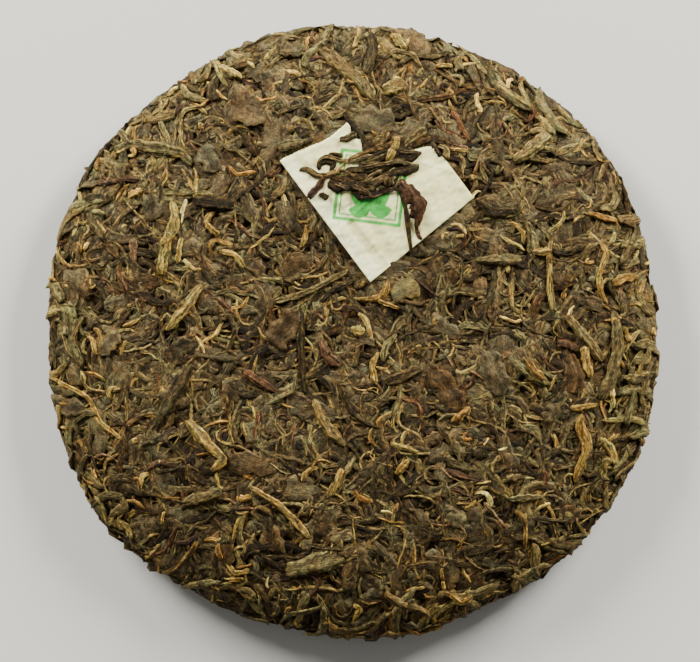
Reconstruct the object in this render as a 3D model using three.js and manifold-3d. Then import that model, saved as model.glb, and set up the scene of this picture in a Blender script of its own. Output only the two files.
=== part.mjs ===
// A pressed tea cake: whole twisted leaves, steamed, wrapped in a cloth bag and pressed under
// a stone into a round disc. Its face is domed, its rim is thin and uneven, and its underside
// is flat, with the dimple that the knot of the bag leaves. A square paper ticket is pressed
// into the face, with its upper corner under the tea and a few leaves lying across it.
// The origin is at the middle of the footprint, +Z up, millimetres.

import * as THREE from "three";
import { ImprovedNoise } from "three/addons/math/ImprovedNoise.js";
import { mergeVertices } from "three/addons/utils/BufferGeometryUtils.js";
import Module from "manifold-3d";

const wasm = await Module();
wasm.setup();

// The pressed body, without the leaves that stand out of it
const CAKE_RADIUS = 99.8;
const CAKE_HEIGHT = 23.5;
const PLATEAU_RADIUS = 40;
const RIM_HEIGHT = 9.5;
const SEAT_RADIUS = 78;
const SEAT_WIDTH = 24;
const HOLLOW_RISE = 1.6;
const DIMPLE_RADIUS = 27;
const DIMPLE_DEPTH = 9;
const SHOULDER_ROUND = 1.8;
const SHOULDER_DROP = 1.55;
const UNDERSIDE_ROUND = 2;
const UNDERSIDE_RISE = 1.5;

// How uneven it is: the outline's lobes, as shares of the radius, and the lumps of leaf
const LOBES = [
  { waves: 2, share: 0.004, turn: 1.8 },
  { waves: 3, share: 0.004, turn: 3.2 },
  { waves: 4, share: 0.005, turn: 4.8 },
  { waves: 6, share: 0.007, turn: 4.2 },
];
const LUMP_HEIGHT = 1.2;
const LUMP_LENGTH = 11;
const CORE_SEGMENTS = 40;
const CORE_STEPS = { dimple: 4, hollow: 2, seat: 1, rise: 4, shoulder: 7, plateau: 3 };
const FINE_STEPS = { dimple: 40, hollow: 20, seat: 20, rise: 60, shoulder: 160, plateau: 30 };

// The paper ticket. Its middle, size and turn are those of the whole sheet, and the tea
// covers the corner that points up the face.
const TICKET = { x: 7.9, y: 49.4, width: 43.1, length: 48.8, turn: 38 };
const PAPER_THICKNESS = 0.4;
const PAPER_LIFT = 0.55;
const PAPER_SINK = 2.4;
const PAPER_WAVE = 0.3;
const PAPER_WAVE_LENGTH = 9;
const PAPER_STEP = 5;
const GAP = 0.3;
const COVER_RADIUS = 27;
const COVER_EDGE = 6;
const HALF_OPEN = 0.5;
const POCKET_HEIGHT = 6;

// The kinds of leaf that stand out of the pressed body. Length, width and thickness are the
// middle of each range, lift sets how far the leaf stands up, bend is the most that it turns,
// in radians, and sides and rings set its facets.
const KINDS = {
  broad: { length: 25, width: 8.6, thick: 2.8, lift: 0.1, bend: 0.5, sides: 5, rings: 4 },
  twist: { length: 31, width: 4.6, thick: 3.2, lift: 0.5, bend: 0.9, sides: 4, rings: 4 },
  stalk: { length: 27, width: 3.2, thick: 2.8, lift: 0.5, bend: 1.3, sides: 4, rings: 4 },
};
const LEAF_FULLNESS = 0.38;
const LENGTH_SPREAD = 0.28;
const WIDTH_SPREAD = 0.14;

// Where leaves are strewn: how many, and between which radii
const FACE_LEAVES = { count: 50, inner: 0, outer: CAKE_RADIUS - 4 };
const RIM_LEAVES = { count: 22, inner: CAKE_RADIUS - 1, outer: CAKE_RADIUS };
const RISE_LEAVES = { count: 10, inner: SEAT_RADIUS, outer: CAKE_RADIUS - 3 };
const HOLLOW_LEAVES = { count: 9, inner: DIMPLE_RADIUS + 2, outer: SEAT_RADIUS - SEAT_WIDTH - 4 };
const AIMS = 12;
const SEED = 357;
const LEAF_MIX = ["broad", "twist", "twist", "stalk", "twist"];
const GOLDEN_ANGLE = Math.PI * (3 - Math.sqrt(5));

// The leaves that show most, each from one point of the face to another, in plan, with the
// sideways bow of its middle. They follow the real cake, clockwise from the upper left.
const MAIN_LEAVES = [
  { kind: "twist", from: [-78, 60], to: [-51, 54], bow: 2, width: 3.8 },
  { kind: "broad", from: [-38, 79], to: [-31, 67], bow: 0, width: 10 },
  { kind: "twist", from: [46, 81], to: [58, 73], bow: 0, width: 2.8 },
  { kind: "broad", from: [51, 55], to: [65, 65], bow: 1, width: 5.5 },
  { kind: "stalk", from: [81, 31], to: [82, 9], bow: 2, width: 2.6 },
  { kind: "twist", from: [84, 15], to: [93, 18], bow: -1, width: 3.4 },
  { kind: "twist", from: [68, 7], to: [82, -10], bow: 0, width: 4.2 },
  { kind: "broad", from: [84, 9], to: [80, -23], bow: 5, width: 5.4 },
  { kind: "twist", from: [50, -8], to: [65, -18], bow: 1, width: 3.8 },
  { kind: "broad", from: [71, -10], to: [72, -21], bow: 0, width: 8 },
  { kind: "twist", from: [74, -26], to: [71, -50], bow: -3, width: 4.4 },
  { kind: "broad", from: [23, -10], to: [33, -23], bow: 0, width: 7.5 },
  { kind: "stalk", from: [51, -89], to: [31, -100], bow: -1, width: 3.2 },
  { kind: "twist", from: [16, -96], to: [30, -94], bow: 2, width: 3 },
  { kind: "broad", from: [-24, -79], to: [2, -69], bow: 1, width: 6.5 },
  { kind: "twist", from: [-34, -49], to: [-13, -67], bow: -1, width: 4 },
  { kind: "twist", from: [-53, -27], to: [-41, -42], bow: 0, width: 4.2 },
  { kind: "twist", from: [-56, -55], to: [-41, -51], bow: 1, width: 4.6 },
  { kind: "stalk", from: [-97, -14], to: [-73, -36], bow: 2, width: 2.6 },
  { kind: "twist", from: [-53, -14], to: [-64, -32], bow: 1, width: 4.2 },
  { kind: "twist", from: [-58, 43], to: [-62, 17], bow: -2, width: 4.2 },
  { kind: "twist", from: [-47, 17], to: [-61, 0], bow: 1, width: 4 },
  { kind: "broad", from: [-70, 38], to: [-62, 22], bow: 0, width: 8 },
  { kind: "twist", from: [7, -17], to: [23, -11], bow: 0, width: 4.2 },
];

// The leaves across the ticket. Each starts in the tea above it, and lies on the paper.
const TICKET_LEAVES = [
  { kind: "twist", from: [4, 61], to: [-17.5, 53], bow: 3, width: 4.2 },
  { kind: "stalk", from: [0, 59], to: [-14.5, 44.5], bow: -2, width: 3.4 },
  { kind: "twist", from: [9, 60], to: [-8, 48.5], bow: -1, width: 4.6 },
  { kind: "twist", from: [-6, 47.5], to: [17, 49.5], bow: -1.5, width: 4.2 },
  { kind: "twist", from: [6, 63], to: [22.5, 52.5], bow: -3, width: 4.6 },
  { kind: "broad", from: [2, 56], to: [27, 61], bow: -2, width: 5.5 },
  { kind: "broad", from: [13, 56], to: [20.5, 31], bow: 2, width: 5.6 },
  { kind: "stalk", from: [16.5, 40], to: [30, 22], bow: -3.5, width: 2.8 },
  { kind: "twist", from: [11.5, 56.5], to: [15.5, 66], bow: 0.5, width: 3 },
];
const TICKET_LEAF_LIFT = 1;
const TICKET_CLEARANCE = 4;

// Points closer than this are one point
const WELD = 1e-4;

const lumps = new ImprovedNoise();
const toRadians = THREE.MathUtils.degToRad;
const smooth = THREE.MathUtils.smoothstep;
THREE.MathUtils.seededRandom(SEED);
const draw = (low, high) => low + (high - low) * THREE.MathUtils.seededRandom();
const spread = (size, share) => size * draw(1 - share, 1 + share);

// The outline's scale at an angle round the cake
function lobe(angle) {
  return LOBES.reduce((sum, l) => sum + l.share * Math.sin(l.waves * angle + l.turn), 1);
}

// The radius that a point would have if the outline were a plain circle
function plainRadius(x, y) {
  return Math.hypot(x, y) / lobe(Math.atan2(y, x));
}

// How far a radius lies along the way from one to another, from 0 to 1
function shareOfWay(r, from, to) {
  return THREE.MathUtils.clamp((r - from) / (to - from), 0, 1);
}

// The height of the face over a plain radius: a plateau that rolls down to the rim
function faceHeight(r) {
  const u = shareOfWay(r, PLATEAU_RADIUS, CAKE_RADIUS);
  const share = Math.pow(1 - Math.pow(u, SHOULDER_ROUND), 1 / SHOULDER_DROP);
  return RIM_HEIGHT + (CAKE_HEIGHT - RIM_HEIGHT) * share;
}

// The height of the underside: the dimple, a slight hollow round it, the flat seat, and the
// rise to the rim
function undersideHeight(r) {
  const dimple = DIMPLE_DEPTH * (1 - smooth(r, 0, DIMPLE_RADIUS));
  const hollow = HOLLOW_RISE * (1 - smooth(r, DIMPLE_RADIUS, SEAT_RADIUS - SEAT_WIDTH));
  if (r < SEAT_RADIUS) return dimple + hollow;
  const u = shareOfWay(r, SEAT_RADIUS, CAKE_RADIUS);
  const share = Math.pow(1 - Math.pow(u, UNDERSIDE_ROUND), 1 / UNDERSIDE_RISE);
  return RIM_HEIGHT * (1 - share);
}

// The meridian from the middle of the underside, round the rim, to the middle of the face.
// The steps get closer towards the rim, where the curve is tight.
function meridian(steps) {
  const points = [new THREE.Vector2(0, undersideHeight(0))];
  const even = (share) => share;
  const closer = (share) => Math.sin((Math.PI / 2) * share);
  const run = (count, from, to, spacing, height) => {
    for (let i = 1; i <= count; i++) {
      const r = from + (to - from) * spacing(i / count);
      points.push(new THREE.Vector2(r, height(r)));
    }
  };
  const inner = SEAT_RADIUS - SEAT_WIDTH;
  run(steps.dimple, 0, DIMPLE_RADIUS, even, undersideHeight);
  run(steps.hollow, DIMPLE_RADIUS, inner, even, undersideHeight);
  run(steps.seat, inner, SEAT_RADIUS, even, undersideHeight);
  run(steps.rise, SEAT_RADIUS, CAKE_RADIUS, closer, undersideHeight);
  const wider = (share) => 1 - closer(1 - share);
  run(steps.shoulder, CAKE_RADIUS, PLATEAU_RADIUS, wider, faceHeight);
  run(steps.plateau, PLATEAU_RADIUS, 0, even, faceHeight);
  return points;
}

const FINE_MERIDIAN = meridian(FINE_STEPS);

// The nearest point of the cake's plain surface, and the direction that points out of it
function foot(at) {
  const angle = Math.atan2(at.y, at.x);
  const scale = lobe(angle);
  const r = plainRadius(at.x, at.y);
  let best = 1;
  let least = Infinity;
  for (let i = 1; i < FINE_MERIDIAN.length - 1; i++) {
    const p = FINE_MERIDIAN[i];
    const d = (p.x - r) ** 2 + (p.y - at.z) ** 2;
    if (d < least) {
      least = d;
      best = i;
    }
  }
  const p = FINE_MERIDIAN[best];
  const before = FINE_MERIDIAN[best - 1];
  const after = FINE_MERIDIAN[best + 1];
  const out = new THREE.Vector2(after.y - before.y, before.x - after.x).normalize();
  const outward = new THREE.Vector3(
    out.x * Math.cos(angle),
    out.x * Math.sin(angle),
    out.y,
  );
  const point = new THREE.Vector3(
    p.x * scale * Math.cos(angle),
    p.x * scale * Math.sin(angle),
    p.y,
  );
  return { point, outward };
}

// A point of the ticket's own plane, as the distances along its width and its length
function onTicket(x, y) {
  const turn = toRadians(TICKET.turn);
  const dx = x - TICKET.x;
  const dy = y - TICKET.y;
  return {
    across: dx * Math.cos(turn) + dy * Math.sin(turn),
    along: -dx * Math.sin(turn) + dy * Math.cos(turn),
  };
}

function fromTicket(across, along) {
  const turn = toRadians(TICKET.turn);
  return {
    x: TICKET.x + across * Math.cos(turn) - along * Math.sin(turn),
    y: TICKET.y + across * Math.sin(turn) + along * Math.cos(turn),
  };
}

const HIDDEN_CORNER = fromTicket(TICKET.width / 2, TICKET.length / 2);

// 1 where the ticket lies open on the face, falling to 0 where the tea covers it
function exposure(x, y) {
  const d = Math.hypot(x - HIDDEN_CORNER.x, y - HIDDEN_CORNER.y);
  return smooth(d, COVER_RADIUS - COVER_EDGE, COVER_RADIUS);
}

// Whether a point lies over the open part of the ticket, grown by a margin
function overTicket(x, y, margin) {
  const { across, along } = onTicket(x, y);
  const inside =
    Math.abs(across) < TICKET.width / 2 + margin &&
    Math.abs(along) < TICKET.length / 2 + margin;
  return inside && exposure(x, y) > HALF_OPEN;
}

// The height of the middle of the paper: on the face, and dipping under the tea
function paperHeight(x, y) {
  const wave = PAPER_WAVE * lumps.noise(x / PAPER_WAVE_LENGTH, y / PAPER_WAVE_LENGTH, 0);
  const lift = PAPER_LIFT - (1 - exposure(x, y)) * (PAPER_LIFT + PAPER_SINK);
  return faceHeight(plainRadius(x, y)) + lift + wave;
}

// A closed sheet over the ticket's outline, grown by a margin, between two heights over the
// middle of the paper. Both faces are split into triangles alike.
function ticketSheet(margin, lower, upper) {
  const width = TICKET.width + 2 * margin;
  const length = TICKET.length + 2 * margin;
  const columns = Math.round(width / PAPER_STEP);
  const rows = Math.round(length / PAPER_STEP);
  const plane = new THREE.PlaneGeometry(width, length, columns, rows);
  const flat = plane.getAttribute("position");
  const count = flat.count;
  const position = new Float32Array(count * 6);
  for (let i = 0; i < count; i++) {
    const { x, y } = fromTicket(flat.getX(i), flat.getY(i));
    const z = paperHeight(x, y);
    position.set([x, y, z + upper(x, y)], i * 3);
    position.set([x, y, z + lower(x, y)], (count + i) * 3);
  }
  const top = Array.from(plane.index.array);
  const index = [...top];
  for (let i = 0; i < top.length; i += 3) {
    index.push(top[i] + count, top[i + 2] + count, top[i + 1] + count);
  }
  const row = columns + 1;
  const wall = (a, b) => index.push(a, a + count, b + count, a, b + count, b);
  for (let c = 0; c < columns; c++) {
    wall(c + 1, c);
    wall(rows * row + c, rows * row + c + 1);
  }
  for (let r = 0; r < rows; r++) {
    wall(r * row, (r + 1) * row);
    wall((r + 1) * row + columns, r * row + columns);
  }
  const geometry = new THREE.BufferGeometry();
  geometry.setAttribute("position", new THREE.BufferAttribute(position, 3));
  geometry.setIndex(index);
  return geometry;
}

// The positions and triangles of a shape alone, with shared corners
function welded(geometry) {
  geometry.deleteAttribute("normal");
  geometry.deleteAttribute("uv");
  return mergeVertices(geometry, WELD);
}

// The pressed body: the meridian turned round the axis, with the lobes of the outline and
// low lumps of leaf. The seat has none, because it was pressed on a board.
function pressedBody() {
  const lathe = new THREE.LatheGeometry(meridian(CORE_STEPS), CORE_SEGMENTS);
  const geometry = welded(lathe.rotateX(Math.PI / 2));
  const position = geometry.getAttribute("position");
  const at = new THREE.Vector3();
  for (let i = 0; i < position.count; i++) {
    at.fromBufferAttribute(position, i);
    const height = at.z < WELD ? 0 : LUMP_HEIGHT;
    const scale = lobe(Math.atan2(at.y, at.x));
    at.x *= scale;
    at.y *= scale;
    const { outward } = foot(at);
    const lump = lumps.noise(at.x / LUMP_LENGTH, at.y / LUMP_LENGTH, at.z / LUMP_LENGTH);
    at.addScaledVector(outward, lump * height);
    position.setXYZ(i, at.x, at.y, Math.max(0, at.z));
  }
  return geometry;
}

// A path over the cake from a start, in steps that keep to the surface. The heading turns
// by bend, in radians, over the whole length.
function walk(start, heading, length, bend, steps) {
  const path = [foot(start)];
  const direction = heading.clone();
  for (let i = 0; i < steps; i++) {
    const here = path[path.length - 1];
    direction.applyAxisAngle(here.outward, bend / steps);
    direction.projectOnPlane(here.outward).normalize();
    const next = here.point.clone().addScaledVector(direction, length / steps);
    path.push(foot(next));
  }
  return path;
}

// A path with its middle at a place, which bends alike both ways
function strand(middle, heading, length, bend, steps) {
  const ahead = walk(middle, heading, length / 2, bend / 2, steps / 2);
  const back = heading.clone().negate();
  const behind = walk(middle, back, length / 2, -bend / 2, steps / 2);
  return [...behind.reverse(), ...ahead.slice(1)];
}

// A path in plan on the face, from one point to another, bowed to the left of the way
function bowed(from, to, bow, steps) {
  const path = [];
  const dx = to[0] - from[0];
  const dy = to[1] - from[1];
  const length = Math.hypot(dx, dy);
  for (let i = 0; i <= steps; i++) {
    const s = i / steps;
    const side = (4 * s * (1 - s) * bow) / length;
    const x = from[0] + dx * s - dy * side;
    const y = from[1] + dy * s + dx * side;
    const r = plainRadius(x, y);
    const overhang = Math.max(0, r - CAKE_RADIUS);
    const placed = foot(new THREE.Vector3(x, y, faceHeight(r)));
    const away = new THREE.Vector3(x, y, 0).normalize();
    placed.point.addScaledVector(away, overhang);
    path.push(placed);
  }
  return path;
}

// One leaf: a ball drawn out along its path, full in the middle and pointed at the ends
function leafGeometry(path, width, thick, sides, lift) {
  const rings = path.length - 1;
  const geometry = welded(new THREE.SphereGeometry(1, sides, rings));
  const position = geometry.getAttribute("position");
  const side = new THREE.Vector3();
  const forward = new THREE.Vector3();
  for (let i = 0; i < position.count; i++) {
    const x = position.getX(i);
    const y = THREE.MathUtils.clamp(position.getY(i), -1, 1);
    const z = position.getZ(i);
    const ring = Math.round((Math.acos(y) / Math.PI) * rings);
    const full = Math.hypot(x, z);
    const fullness = full < WELD ? 0 : Math.pow(full, LEAF_FULLNESS) / full;
    const here = path[ring];
    const before = path[Math.max(0, ring - 1)].point;
    const after = path[Math.min(rings, ring + 1)].point;
    forward.subVectors(after, before).normalize();
    side.crossVectors(here.outward, forward).normalize();
    const at = here.point
      .clone()
      .addScaledVector(side, (x * fullness * width) / 2)
      .addScaledVector(here.outward, (z * fullness * thick) / 2 + lift(here.point));
    position.setXYZ(i, at.x, at.y, at.z);
  }
  return geometry;
}

function solid(geometry) {
  return new wasm.Manifold(
    new wasm.Mesh({
      numProp: 3,
      vertProperties: Float32Array.from(geometry.getAttribute("position").array),
      triVerts: Uint32Array.from(geometry.index.array),
    }),
  );
}

// The paths of the leaves laid so far, so that the next ones lie beside them
const laid = [];

function layLeaf(path, kind, width, paperLift) {
  laid.push(...path.map((p) => p.point));
  const lift = (p) => kind.lift + (overTicket(p.x, p.y, 1) ? paperLift : 0);
  return solid(leafGeometry(path, width, kind.thick, kind.sides, lift));
}

function leafBetween(leaf, paperLift) {
  const kind = KINDS[leaf.kind];
  const path = bowed(leaf.from, leaf.to, leaf.bow, kind.rings);
  return layLeaf(path, kind, leaf.width, paperLift);
}

function crossesTicket(path) {
  return path.some(({ point }) => {
    return point.z > RIM_HEIGHT && overTicket(point.x, point.y, TICKET_CLEARANCE);
  });
}

function roomRound(path) {
  const gaps = path.map(({ point }) => Math.min(...laid.map((p) => p.distanceTo(point))));
  return Math.min(...gaps);
}

// A leaf laid about a place. Of several aims it takes the one with the most room.
function strewnLeaf(kind, middle) {
  const length = spread(kind.length, LENGTH_SPREAD);
  const width = spread(kind.width, WIDTH_SPREAD);
  const { outward } = foot(middle);
  const round = new THREE.Vector3(-middle.y, middle.x, 0).normalize();
  let best = { path: null, room: 0 };
  for (let i = 0; i < AIMS; i++) {
    const heading = round.clone().applyAxisAngle(outward, draw(0, Math.PI));
    const path = strand(middle, heading, length, draw(-kind.bend, kind.bend), kind.rings);
    const room = crossesTicket(path) ? 0 : roomRound(path);
    if (room > best.room) best = { path, room };
  }
  return best.path ? layLeaf(best.path, kind, width, 0) : null;
}

// The spreading rule: a golden angle apart, with as much area between one radius and the next
function strewn({ count, inner, outer }, height) {
  const leaves = [];
  for (let i = 0; i < count; i++) {
    const r = Math.sqrt(THREE.MathUtils.lerp(inner ** 2, outer ** 2, (i + 1 / 2) / count));
    const angle = i * GOLDEN_ANGLE;
    const middle = new THREE.Vector3(r * Math.cos(angle), r * Math.sin(angle), height(r));
    const leaf = strewnLeaf(KINDS[LEAF_MIX[i % LEAF_MIX.length]], middle);
    if (leaf) leaves.push(leaf);
  }
  return leaves;
}

// The whole cake: the pressed body with a pocket for the ticket, the leaves fused on, a slot
// that keeps all of it clear of the paper, and the seat trimmed flat
function teaCake() {
  const half = PAPER_THICKNESS / 2 + GAP;
  const below = () => -half;
  const above = () => half;
  const openAbove = (x, y) => half + exposure(x, y) * POCKET_HEIGHT;
  let cake = solid(pressedBody()).subtract(solid(ticketSheet(GAP, below, openAbove)));
  const leaves = [
    ...MAIN_LEAVES.map((leaf) => leafBetween(leaf, 0)),
    ...TICKET_LEAVES.map((leaf) => leafBetween(leaf, TICKET_LEAF_LIFT)),
    ...strewn(FACE_LEAVES, faceHeight),
    ...strewn(RIM_LEAVES, () => RIM_HEIGHT),
    ...strewn(RISE_LEAVES, undersideHeight),
    ...strewn(HOLLOW_LEAVES, undersideHeight),
  ];
  for (const leaf of leaves) cake = cake.add(leaf);
  cake = cake.subtract(solid(ticketSheet(GAP, below, above)));
  const board = new THREE.BoxGeometry(4 * CAKE_RADIUS, 4 * CAKE_RADIUS, CAKE_HEIGHT);
  board.translate(0, 0, -CAKE_HEIGHT / 2);
  return wholePiece(cake.subtract(solid(welded(board))));
}

// The one piece that holds together: crossing leaves can close off a hollow, which is
// filled, and a cut can leave a crumb, which is dropped
function wholePiece(made) {
  const shells = made.decompose();
  return shells.reduce((a, b) => (b.volume() > a.volume() ? b : a));
}

function fromSolid(made) {
  const mesh = made.getMesh();
  const geometry = new THREE.BufferGeometry();
  geometry.setAttribute("position", new THREE.BufferAttribute(mesh.vertProperties, 3));
  geometry.setIndex(new THREE.BufferAttribute(mesh.triVerts, 1));
  return geometry;
}

const LEAF_MATERIAL = new THREE.MeshStandardMaterial({
  color: 0x61523a,
  roughness: 0.78,
  metalness: 0,
});
const PAPER_MATERIAL = new THREE.MeshStandardMaterial({
  color: 0xe2e1d3,
  roughness: 0.9,
  metalness: 0,
});

const cake = new THREE.Mesh(fromSolid(teaCake()), LEAF_MATERIAL);
cake.name = "tea_cake";

const sheetHalf = PAPER_THICKNESS / 2;
const ticket = new THREE.Mesh(
  ticketSheet(0, () => -sheetHalf, () => sheetHalf),
  PAPER_MATERIAL,
);
ticket.name = "paper_ticket";

// The footprint's middle goes to the origin
cake.geometry.computeBoundingBox();
const middle = cake.geometry.boundingBox.getCenter(new THREE.Vector3());
cake.geometry.translate(-middle.x, -middle.y, 0);
ticket.geometry.translate(-middle.x, -middle.y, 0);

const teaCakeWithTicket = new THREE.Group();
teaCakeWithTicket.add(cake, ticket);

export default teaCakeWithTicket;
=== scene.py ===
import bpy
import numpy as np
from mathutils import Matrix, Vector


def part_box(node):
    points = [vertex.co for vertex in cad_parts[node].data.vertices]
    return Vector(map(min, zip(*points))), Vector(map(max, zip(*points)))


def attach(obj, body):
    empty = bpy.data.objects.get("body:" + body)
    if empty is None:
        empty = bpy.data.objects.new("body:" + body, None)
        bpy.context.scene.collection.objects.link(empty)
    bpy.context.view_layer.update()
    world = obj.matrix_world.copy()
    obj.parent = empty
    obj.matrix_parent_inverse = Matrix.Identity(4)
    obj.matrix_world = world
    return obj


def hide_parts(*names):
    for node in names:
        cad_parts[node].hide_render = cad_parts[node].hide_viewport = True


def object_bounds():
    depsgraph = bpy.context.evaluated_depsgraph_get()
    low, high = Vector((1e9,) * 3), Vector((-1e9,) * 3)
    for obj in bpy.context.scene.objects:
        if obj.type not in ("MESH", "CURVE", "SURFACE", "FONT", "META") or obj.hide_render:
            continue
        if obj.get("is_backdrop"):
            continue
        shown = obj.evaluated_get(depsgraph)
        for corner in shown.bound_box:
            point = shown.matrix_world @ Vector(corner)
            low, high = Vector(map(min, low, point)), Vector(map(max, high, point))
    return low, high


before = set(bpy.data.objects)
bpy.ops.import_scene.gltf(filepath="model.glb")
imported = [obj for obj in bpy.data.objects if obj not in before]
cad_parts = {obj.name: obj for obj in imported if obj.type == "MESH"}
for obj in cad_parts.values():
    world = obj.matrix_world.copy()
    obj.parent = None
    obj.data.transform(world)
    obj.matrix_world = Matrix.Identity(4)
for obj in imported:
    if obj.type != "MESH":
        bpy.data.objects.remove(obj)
cad_low, cad_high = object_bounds()

# The camera looks straight down on the domed face, with the side that carries the ticket at
# the top of the picture. A long lens keeps the face and the rim at nearly one scale.
PICTURE_WIDTH = 0.2284
LENS = 180
FILM = 36
AIM = (-0.0005, 0.0, 0.0095)
distance = PICTURE_WIDTH * LENS / FILM
bpy.ops.object.camera_add(location=(AIM[0], AIM[1], AIM[2] + distance), rotation=(0, 0, 0))
camera = bpy.context.object
camera.data.lens = LENS
camera.data.sensor_width = FILM
bpy.context.scene.camera = camera


# The floor is a plain pale board. Two soft windows stand beyond the ticket's side, left and
# right of the cake and low, so that the leaves cast shadows. A white room fills those.
WINDOW_PLACE = (1.0, 0.96, 0.54)
WINDOW_SIZE = 0.7
WINDOW_POWER = 69
WINDOW_TINT = (1.0, 1.0, 0.94)
WINDOW_TURN = 0.81
WINDOW_DIP = 1.19
ROOM_TINT = (1, 1, 0.96, 1)
ROOM_STRENGTH = 0.18


def linear(code):
    """A hex colour as red, green, blue and alpha, made linear."""
    parts = [int(code[i : i + 2], 16) / 255 for i in (0, 2, 4)]
    bent = [p / 12.92 if p <= 0.04045 else ((p + 0.055) / 1.055) ** 2.4 for p in parts]
    return (*bent, 1.0)


def add(tree, kind, inputs=(), stops=(), **settings):
    """Adds a shader node. inputs are by socket, or in the sockets' order. Each is a value, an
    output that feeds the socket, or a node whose first output does. stops are a ramp's."""
    made = tree.nodes.new("ShaderNode" + kind)
    for name, value in settings.items():
        setattr(made, name, value)
    by_socket = inputs if isinstance(inputs, dict) else dict(enumerate(inputs))
    for name, value in by_socket.items():
        if isinstance(value, bpy.types.Node):
            value = value.outputs[0]
        if isinstance(value, bpy.types.NodeSocket):
            tree.links.new(value, made.inputs[name])
        else:
            made.inputs[name].default_value = value
    for i, (place, colour) in enumerate([*stops[:1], *stops[-1:], *stops[1:-1]]):
        ramp = made.color_ramp.elements
        stop = ramp[i] if i < 2 else ramp.new(place)
        stop.position = place
        stop.color = linear(colour)
    return made


def new_material(name):
    """An empty node material, and its tree."""
    material = bpy.data.materials.new(name)
    material.use_nodes = True
    material.node_tree.nodes.clear()
    return material, material.node_tree


bpy.ops.object.select_all(action="DESELECT")
bpy.ops.mesh.primitive_plane_add(size=6)
floor = bpy.context.object
floor.name = "floor"
board_paint, tree = new_material("matt_white_board")
body = add(tree, "BsdfPrincipled", {"Base Color": linear("E4E2DD"), "Roughness": 0.8})
add(tree, "OutputMaterial", {"Surface": body})
floor.data.materials.append(board_paint)
floor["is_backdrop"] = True

for side in (-1, 1):
    bpy.ops.object.light_add(type="AREA", location=(side * WINDOW_PLACE[0], *WINDOW_PLACE[1:]))
    window = bpy.context.object
    window.data.size = WINDOW_SIZE
    window.data.energy = WINDOW_POWER
    window.data.color = WINDOW_TINT
    window.rotation_mode = "ZXY"
    window.rotation_euler = (-WINDOW_DIP, 0, -side * WINDOW_TURN)
room = bpy.data.worlds.new("white_room")
bpy.context.scene.world = room
room.use_nodes = True
room_light = room.node_tree.nodes["Background"]
room_light.inputs["Color"].default_value = ROOM_TINT
room_light.inputs["Strength"].default_value = ROOM_STRENGTH


# The core is the dense tea inside the cake: leaves steamed, bagged and pressed under a
# stone until they hold together. A profile is spun round the axis, then pushed out of round
# as the hand-filled bag was. Lengths are in mm, and a mesh is made of them in metres.
MM = 0.001
CAKE_RADIUS = 99.8
CAKE_HEIGHT = 23.5
PLATEAU_RADIUS = 40.0
RIM_HEIGHT = 9.5
FACE_CURVE = (1.8, 1.55)
SEAT_RADIUS = 78.0
SEAT_WIDTH = 24.0
SEAT_CURVE = 1.5
HOLLOW_RISE = 1.6
DIMPLE_RADIUS = 27.0
DIMPLE_DEPTH = 9.0
LOBES = ((2, 0.004, 1.8), (3, 0.004, 3.2), (4, 0.005, 4.8), (6, 0.007, 4.2))
WAVES = 14
CORE_BUMPS = ((0.5, 11, 1), (0.4, 4, 2), (0.25, 1.8, 3))
CORE_BUMP_RANGE = (-1.6, 0.6)
CORE_DEPTH = 1.35
CORE_CLEAR = 0.3
CORE_PROFILE = 84
CORE_SPIN = 290
BOARD_EASE = 0.3
INSIDE = 0.02
TICKET = {"x": 7.9, "y": 49.4, "width": 43.1, "length": 48.8, "turn": 38.0, "skew": 1.3}

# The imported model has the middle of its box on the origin, so the cake's axis is at PLACE.
low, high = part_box("paper_ticket")
PLACE = [(low[i] + high[i]) / 2 / MM - TICKET["xy"[i]] for i in range(2)]


def smooth(value, start, end):
    """0 before start and 1 after end, with a soft step between them."""
    share = np.clip((value - start) / (end - start), 0, 1)
    return share * share * (3 - 2 * share)


def face_height(r):
    u = np.clip((r - PLATEAU_RADIUS) / (CAKE_RADIUS - PLATEAU_RADIUS), 0, 1)
    fall = (1 - u ** FACE_CURVE[0]) ** (1 / FACE_CURVE[1])
    return RIM_HEIGHT + (CAKE_HEIGHT - RIM_HEIGHT) * fall


def underside_height(r):
    dimple = DIMPLE_DEPTH * (1 - smooth(r, 0, DIMPLE_RADIUS))
    hollow = HOLLOW_RISE * (1 - smooth(r, DIMPLE_RADIUS, SEAT_RADIUS - SEAT_WIDTH))
    u = np.clip((r - SEAT_RADIUS) / (CAKE_RADIUS - SEAT_RADIUS), 0, 1)
    return dimple + hollow + RIM_HEIGHT * (1 - (1 - u * u) ** (1 / SEAT_CURVE))


def meridian(count):
    """The profile from the middle of the face, round the rim, to the middle below."""
    turn = np.linspace(0, np.pi / 2, count)
    over = CAKE_RADIUS * np.sin(turn)
    r = np.concatenate([over, over[-2::-1]])
    z = np.concatenate([face_height(over), underside_height(over[-2::-1])])
    return r, z


def lobe(angle):
    """How far out of round the cake is, as a factor of its radius."""
    return 1 + sum(share * np.sin(waves * angle + turn) for waves, share, turn in LOBES)


def ripple(points, wavelength, seed):
    """Smooth random bumps, about -1 to 1 high, one wavelength apart."""
    rng = np.random.default_rng(seed)
    total = 0
    for _ in range(WAVES):
        way = rng.normal(size=3)
        way *= 2 * np.pi / wavelength / np.linalg.norm(way) * rng.uniform(0.7, 1.4)
        total = total + np.sin(points @ way + rng.uniform(0, 2 * np.pi))
    return total / np.sqrt(WAVES)


def bumps(points, layers):
    """Ripples laid on ripples. Each layer has a height, a wavelength and a seed."""
    return sum(height * ripple(points, wave, seed) for height, wave, seed in layers)


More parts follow.
